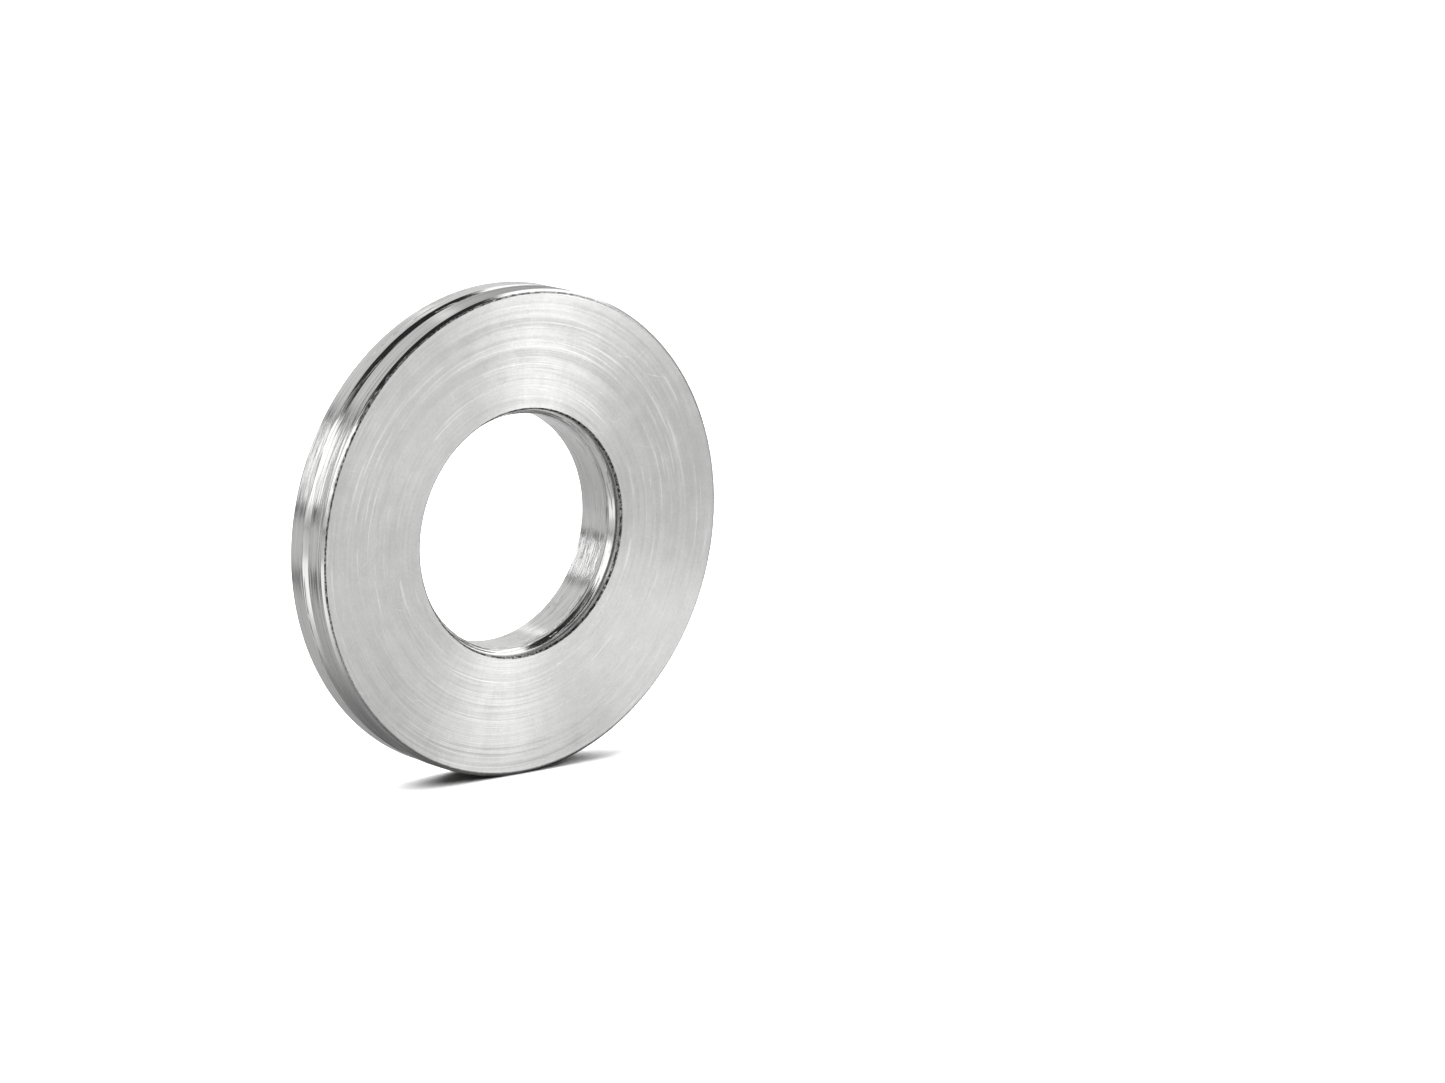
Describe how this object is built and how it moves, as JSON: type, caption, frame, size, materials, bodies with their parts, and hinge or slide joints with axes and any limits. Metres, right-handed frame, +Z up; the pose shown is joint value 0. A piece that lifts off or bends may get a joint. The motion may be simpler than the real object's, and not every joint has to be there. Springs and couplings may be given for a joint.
{
  "type": "thrust ball bearing",
  "caption": "Thin closed thrust ball bearing: two turned steel washers with a caged ring of balls hidden between them.",
  "frame": {"origin": "the middle of the bearing, on its axis, half way between its two seating faces", "axes": "+Y along the bearing's axis from the housing washer towards the shaft washer; +Z up as the bearing stands on its rim"},
  "size_m": [0.025, 0.0028, 0.025],
  "materials": {
    "turned_steel": "fine turned",
    "cage_brass": "machined",
    "ball_steel": "polished"
  },
  "bodies": {
    "housing_washer": {"housing_washer": "turned_steel"},
    "shaft_washer": {"shaft_washer": "turned_steel"},
    "ball_cage": {"ball_cage": "cage_brass"},
    "ball_01": {"ball_01": "ball_steel"},
    "ball_02": {"ball_02": "ball_steel"},
    "ball_03": {"ball_03": "ball_steel"},
    "ball_04": {"ball_04": "ball_steel"},
    "ball_05": {"ball_05": "ball_steel"},
    "ball_06": {"ball_06": "ball_steel"},
    "ball_07": {"ball_07": "ball_steel"},
    "ball_08": {"ball_08": "ball_steel"},
    "ball_09": {"ball_09": "ball_steel"},
    "ball_10": {"ball_10": "ball_steel"},
    "ball_11": {"ball_11": "ball_steel"},
    "ball_12": {"ball_12": "ball_steel"},
    "ball_13": {"ball_13": "ball_steel"},
    "ball_14": {"ball_14": "ball_steel"},
    "ball_15": {"ball_15": "ball_steel"},
    "ball_16": {"ball_16": "ball_steel"},
    "ball_17": {"ball_17": "ball_steel"},
    "ball_18": {"ball_18": "ball_steel"},
    "ball_19": {"ball_19": "ball_steel"},
    "ball_20": {"ball_20": "ball_steel"},
    "ball_21": {"ball_21": "ball_steel"},
    "ball_22": {"ball_22": "ball_steel"},
    "ball_23": {"ball_23": "ball_steel"},
    "ball_24": {"ball_24": "ball_steel"}
  },
  "joints": [
    {"name": "shaft_washer_spin", "type": "hinge", "parent": "housing_washer", "child": "shaft_washer", "pos_m": [0, 0, 0], "axis": [0, 1, 0], "continuous": true},
    {"name": "cage_orbit", "type": "hinge", "parent": "housing_washer", "child": "ball_cage", "pos_m": [0, 0, 0], "axis": [0, 1, 0], "continuous": true},
    {"name": "ball_01_spin", "type": "hinge", "parent": "ball_cage", "child": "ball_01", "pos_m": [0, 0, 0.0093], "axis": [0, 0, 1], "continuous": true},
    {"name": "ball_02_spin", "type": "hinge", "parent": "ball_cage", "child": "ball_02", "pos_m": [0.00241, 0, 0.00898], "axis": [0.2588, 0, 0.9659], "continuous": true},
    {"name": "ball_03_spin", "type": "hinge", "parent": "ball_cage", "child": "ball_03", "pos_m": [0.00465, 0, 0.00805], "axis": [0.5, 0, 0.866], "continuous": true},
    {"name": "ball_04_spin", "type": "hinge", "parent": "ball_cage", "child": "ball_04", "pos_m": [0.00658, 0, 0.00658], "axis": [0.7071, 0, 0.7071], "continuous": true},
    {"name": "ball_05_spin", "type": "hinge", "parent": "ball_cage", "child": "ball_05", "pos_m": [0.00805, 0, 0.00465], "axis": [0.866, 0, 0.5], "continuous": true},
    {"name": "ball_06_spin", "type": "hinge", "parent": "ball_cage", "child": "ball_06", "pos_m": [0.00898, 0, 0.00241], "axis": [0.9659, 0, 0.2588], "continuous": true},
    {"name": "ball_07_spin", "type": "hinge", "parent": "ball_cage", "child": "ball_07", "pos_m": [0.0093, 0, 0], "axis": [1, 0, 0], "continuous": true},
    {"name": "ball_08_spin", "type": "hinge", "parent": "ball_cage", "child": "ball_08", "pos_m": [0.00898, 0, -0.00241], "axis": [0.9659, 0, -0.2588], "continuous": true},
    {"name": "ball_09_spin", "type": "hinge", "parent": "ball_cage", "child": "ball_09", "pos_m": [0.00805, 0, -0.00465], "axis": [0.866, 0, -0.5], "continuous": true},
    {"name": "ball_10_spin", "type": "hinge", "parent": "ball_cage", "child": "ball_10", "pos_m": [0.00658, 0, -0.00658], "axis": [0.7071, 0, -0.7071], "continuous": true},
    {"name": "ball_11_spin", "type": "hinge", "parent": "ball_cage", "child": "ball_11", "pos_m": [0.00465, 0, -0.00805], "axis": [0.5, 0, -0.866], "continuous": true},
    {"name": "ball_12_spin", "type": "hinge", "parent": "ball_cage", "child": "ball_12", "pos_m": [0.00241, 0, -0.00898], "axis": [0.2588, 0, -0.9659], "continuous": true},
    {"name": "ball_13_spin", "type": "hinge", "parent": "ball_cage", "child": "ball_13", "pos_m": [0, 0, -0.0093], "axis": [0, 0, -1], "continuous": true},
    {"name": "ball_14_spin", "type": "hinge", "parent": "ball_cage", "child": "ball_14", "pos_m": [-0.00241, 0, -0.00898], "axis": [-0.2588, 0, -0.9659], "continuous": true},
    {"name": "ball_15_spin", "type": "hinge", "parent": "ball_cage", "child": "ball_15", "pos_m": [-0.00465, 0, -0.00805], "axis": [-0.5, 0, -0.866], "continuous": true},
    {"name": "ball_16_spin", "type": "hinge", "parent": "ball_cage", "child": "ball_16", "pos_m": [-0.00658, 0, -0.00658], "axis": [-0.7071, 0, -0.7071], "continuous": true},
    {"name": "ball_17_spin", "type": "hinge", "parent": "ball_cage", "child": "ball_17", "pos_m": [-0.00805, 0, -0.00465], "axis": [-0.866, 0, -0.5], "continuous": true},
    {"name": "ball_18_spin", "type": "hinge", "parent": "ball_cage", "child": "ball_18", "pos_m": [-0.00898, 0, -0.00241], "axis": [-0.9659, 0, -0.2588], "continuous": true},
    {"name": "ball_19_spin", "type": "hinge", "parent": "ball_cage", "child": "ball_19", "pos_m": [-0.0093, 0, 0], "axis": [-1, 0, 0], "continuous": true},
    {"name": "ball_20_spin", "type": "hinge", "parent": "ball_cage", "child": "ball_20", "pos_m": [-0.00898, 0, 0.00241], "axis": [-0.9659, 0, 0.2588], "continuous": true},
    {"name": "ball_21_spin", "type": "hinge", "parent": "ball_cage", "child": "ball_21", "pos_m": [-0.00805, 0, 0.00465], "axis": [-0.866, 0, 0.5], "continuous": true},
    {"name": "ball_22_spin", "type": "hinge", "parent": "ball_cage", "child": "ball_22", "pos_m": [-0.00658, 0, 0.00658], "axis": [-0.7071, 0, 0.7071], "continuous": true},
    {"name": "ball_23_spin", "type": "hinge", "parent": "ball_cage", "child": "ball_23", "pos_m": [-0.00465, 0, 0.00805], "axis": [-0.5, 0, 0.866], "continuous": true},
    {"name": "ball_24_spin", "type": "hinge", "parent": "ball_cage", "child": "ball_24", "pos_m": [-0.00241, 0, 0.00898], "axis": [-0.2588, 0, 0.9659], "continuous": true}
  ],
  "couplings": [
    {"joint": "cage_orbit", "follows": "shaft_washer_spin", "ratio": 0.5},
    {"joint": "ball_01_spin", "follows": "shaft_washer_spin", "ratio": -6.2},
    {"joint": "ball_02_spin", "follows": "shaft_washer_spin", "ratio": -6.2},
    {"joint": "ball_03_spin", "follows": "shaft_washer_spin", "ratio": -6.2},
    {"joint": "ball_04_spin", "follows": "shaft_washer_spin", "ratio": -6.2},
    {"joint": "ball_05_spin", "follows": "shaft_washer_spin", "ratio": -6.2},
    {"joint": "ball_06_spin", "follows": "shaft_washer_spin", "ratio": -6.2},
    {"joint": "ball_07_spin", "follows": "shaft_washer_spin", "ratio": -6.2},
    {"joint": "ball_08_spin", "follows": "shaft_washer_spin", "ratio": -6.2},
    {"joint": "ball_09_spin", "follows": "shaft_washer_spin", "ratio": -6.2},
    {"joint": "ball_10_spin", "follows": "shaft_washer_spin", "ratio": -6.2},
    {"joint": "ball_11_spin", "follows": "shaft_washer_spin", "ratio": -6.2},
    {"joint": "ball_12_spin", "follows": "shaft_washer_spin", "ratio": -6.2},
    {"joint": "ball_13_spin", "follows": "shaft_washer_spin", "ratio": -6.2},
    {"joint": "ball_14_spin", "follows": "shaft_washer_spin", "ratio": -6.2},
    {"joint": "ball_15_spin", "follows": "shaft_washer_spin", "ratio": -6.2},
    {"joint": "ball_16_spin", "follows": "shaft_washer_spin", "ratio": -6.2},
    {"joint": "ball_17_spin", "follows": "shaft_washer_spin", "ratio": -6.2},
    {"joint": "ball_18_spin", "follows": "shaft_washer_spin", "ratio": -6.2},
    {"joint": "ball_19_spin", "follows": "shaft_washer_spin", "ratio": -6.2},
    {"joint": "ball_20_spin", "follows": "shaft_washer_spin", "ratio": -6.2},
    {"joint": "ball_21_spin", "follows": "shaft_washer_spin", "ratio": -6.2},
    {"joint": "ball_22_spin", "follows": "shaft_washer_spin", "ratio": -6.2},
    {"joint": "ball_23_spin", "follows": "shaft_washer_spin", "ratio": -6.2},
    {"joint": "ball_24_spin", "follows": "shaft_washer_spin", "ratio": -6.2}
  ]
}
